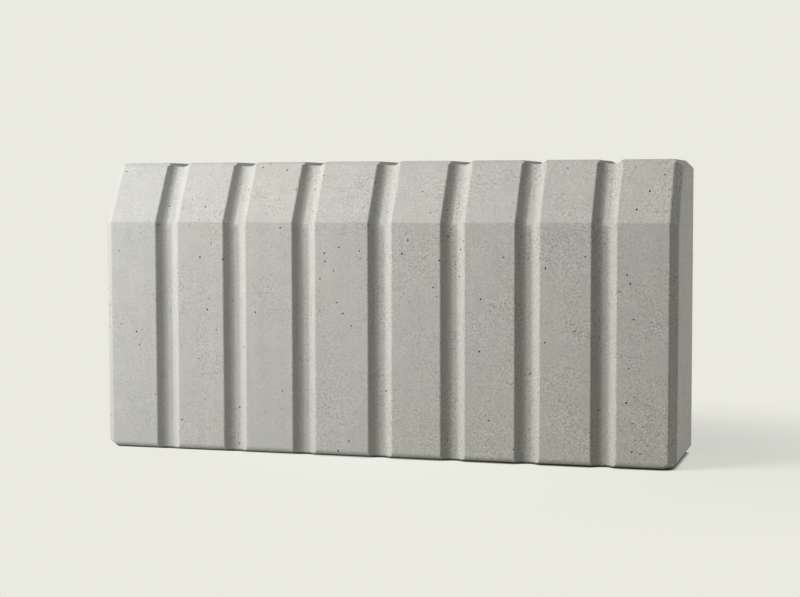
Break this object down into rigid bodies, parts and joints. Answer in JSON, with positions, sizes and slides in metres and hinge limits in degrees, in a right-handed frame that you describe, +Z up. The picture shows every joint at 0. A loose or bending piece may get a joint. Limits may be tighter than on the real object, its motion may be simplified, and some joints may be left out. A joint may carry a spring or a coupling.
{
  "type": "kerb stone",
  "caption": "Cast concrete kerb stone with a ribbed front whose upper part leans back, moulded grooves between flat ribs, bevelled ends and a plain back; it edges a path or bed.",
  "frame": {"origin": "middle of the flat base, on the ground", "axes": "+X along the kerb line, +Y from the ribbed front to the plain back, +Z up"},
  "size_m": [0.5, 0.105, 0.25],
  "materials": {
    "concrete": "matt cast concrete with fine pinholes"
  },
  "bodies": {
    "root": {"kerb_stone": "concrete"}
  },
  "joints": []
}
